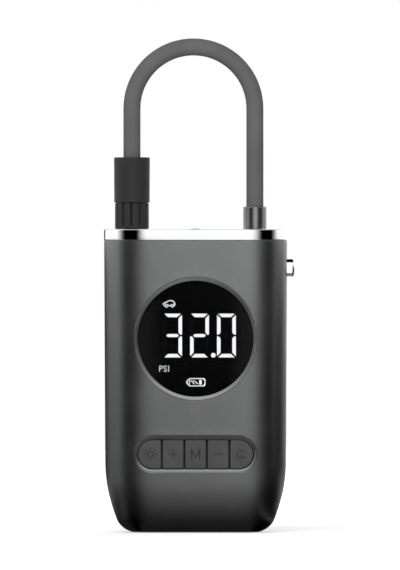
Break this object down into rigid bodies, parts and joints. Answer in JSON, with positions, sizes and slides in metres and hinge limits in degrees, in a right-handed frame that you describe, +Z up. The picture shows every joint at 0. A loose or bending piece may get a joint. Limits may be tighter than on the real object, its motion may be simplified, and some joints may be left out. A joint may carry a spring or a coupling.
{
  "type": "portable tire inflator",
  "caption": "Handheld cordless air pump with a round display, a row of keys, a side power button and a stiff hose parked in an arch over its top plate.",
  "frame": {"origin": "centre of the flat base, on the surface the inflator stands on", "axes": "+Z up along the body towards the hose arch, -Y towards the display, +X towards the side button"},
  "size_m": [0.0781, 0.045, 0.2024],
  "materials": {
    "shell_paint": "satin dark grey metallic coat",
    "chrome_plate": "polished chrome plating",
    "bezel_paint": "satin dark grey metallic coat",
    "window_glass": "clear smoked window, gloss",
    "display_light": "lit white segments",
    "black_plastic": "moulded black, matt",
    "key_rubber": "satin dark grey with printed signs",
    "lens_clear": "frosted clear lens",
    "board_green": "circuit board with solder mask",
    "steel_parts": "plated steel",
    "black_steel": "blackened screws",
    "brass_parts": "turned brass",
    "cast_alloy": "die-cast alloy",
    "cell_wrap": "cell in a shrink sleeve",
    "copper_iron": "wound iron poles",
    "gear_nylon": "moulded nylon",
    "seal_rubber": "soft seal rubber",
    "tube_silicone": "translucent silicone",
    "hose_rubber": "matt grey hose rubber",
    "dark_metal": "dark anodised, satin",
    "ferrule_metal": "gunmetal grey, polished"
  },
  "bodies": {
    "body": {"front_shell": "shell_paint", "rear_shell": "shell_paint", "top_cap": "chrome_plate", "case_screws": "black_steel", "display_bezel": "bezel_paint", "display_window": "window_glass", "display_digits": "display_light", "display_module": "black_plastic", "keypad_frame": "bezel_paint", "key_switches": "steel_parts", "main_board": "board_green", "board_parts": "black_plastic", "board_screws": "steel_parts", "charge_board": "board_green", "usb_socket": "steel_parts", "button_bush": "black_plastic", "power_switch": "black_plastic", "led_lens": "lens_clear", "led_board": "board_green", "battery_cells": "cell_wrap", "battery_tabs": "steel_parts", "battery_tray": "black_plastic", "motor_can": "steel_parts", "motor_endcap": "black_plastic", "motor_magnets": "black_steel", "motor_screws": "steel_parts", "axle_bush": "brass_parts", "pump_frame": "cast_alloy", "frame_screws": "steel_parts", "pump_cylinder": "cast_alloy", "cylinder_head": "cast_alloy", "head_gasket": "seal_rubber", "head_screws": "steel_parts", "pressure_sensor": "black_plastic", "sensor_tube": "tube_silicone", "outlet_socket": "brass_parts", "outlet_seal": "seal_rubber", "parking_post": "cast_alloy"},
    "hose_assembly": {"hose": "hose_rubber", "hose_ferrule": "ferrule_metal", "hose_nipple": "brass_parts", "chuck_collar": "dark_metal", "chuck_barb": "brass_parts", "chuck_gasket": "seal_rubber"},
    "chuck_nut": {"chuck_nut": "dark_metal"},
    "key_light": {"key_light": "key_rubber"},
    "key_plus": {"key_plus": "key_rubber"},
    "key_mode": {"key_mode": "key_rubber"},
    "key_minus": {"key_minus": "key_rubber"},
    "key_unit": {"key_unit": "key_rubber"},
    "power_button": {"power_button": "chrome_plate"},
    "motor_rotor": {"motor_armature": "copper_iron", "motor_shaft": "steel_parts", "drive_pinion": "brass_parts"},
    "crank": {"crank_gear": "gear_nylon", "gear_axle": "steel_parts"},
    "piston": {"piston": "cast_alloy", "piston_seal": "seal_rubber", "wrist_pin": "steel_parts", "connecting_rod": "cast_alloy"}
  },
  "joints": [
    {"name": "hose_lift", "type": "slide", "parent": "body", "child": "hose_assembly", "axis": [0, 0, 1], "range_m": [0, 0.016]},
    {"name": "chuck_spin", "type": "hinge", "parent": "hose_assembly", "child": "chuck_nut", "pos_m": [-0.0261, 0, 0.1242], "axis": [0, 0, 1], "continuous": true},
    {"name": "key_light_press", "type": "slide", "parent": "body", "child": "key_light", "axis": [0, 1, 0], "range_m": [0, 0.0006], "stiffness_N_per_m": 800, "springref_m": -0.0003},
    {"name": "key_plus_press", "type": "slide", "parent": "body", "child": "key_plus", "axis": [0, 1, 0], "range_m": [0, 0.0006], "stiffness_N_per_m": 800, "springref_m": -0.0003},
    {"name": "key_mode_press", "type": "slide", "parent": "body", "child": "key_mode", "axis": [0, 1, 0], "range_m": [0, 0.0006], "stiffness_N_per_m": 800, "springref_m": -0.0003},
    {"name": "key_minus_press", "type": "slide", "parent": "body", "child": "key_minus", "axis": [0, 1, 0], "range_m": [0, 0.0006], "stiffness_N_per_m": 800, "springref_m": -0.0003},
    {"name": "key_unit_press", "type": "slide", "parent": "body", "child": "key_unit", "axis": [0, 1, 0], "range_m": [0, 0.0006], "stiffness_N_per_m": 800, "springref_m": -0.0003},
    {"name": "power_press", "type": "slide", "parent": "body", "child": "power_button", "axis": [-1, 0, 0], "range_m": [0, 0.0012], "stiffness_N_per_m": 800, "springref_m": -0.0003},
    {"name": "crank_spin", "type": "hinge", "parent": "body", "child": "crank", "pos_m": [0, 0.003, 0.084], "axis": [1, 0, 0], "continuous": true},
    {"name": "motor_spin", "type": "hinge", "parent": "body", "child": "motor_rotor", "pos_m": [0, 0.003, 0.06588], "axis": [1, 0, 0], "continuous": true},
    {"name": "piston_stroke", "type": "slide", "parent": "body", "child": "piston", "axis": [0, 0, -1], "range_m": [0, 0.008]}
  ],
  "couplings": [
    {"joint": "motor_spin", "follows": "crank_spin", "ratio": -4}
  ]
}
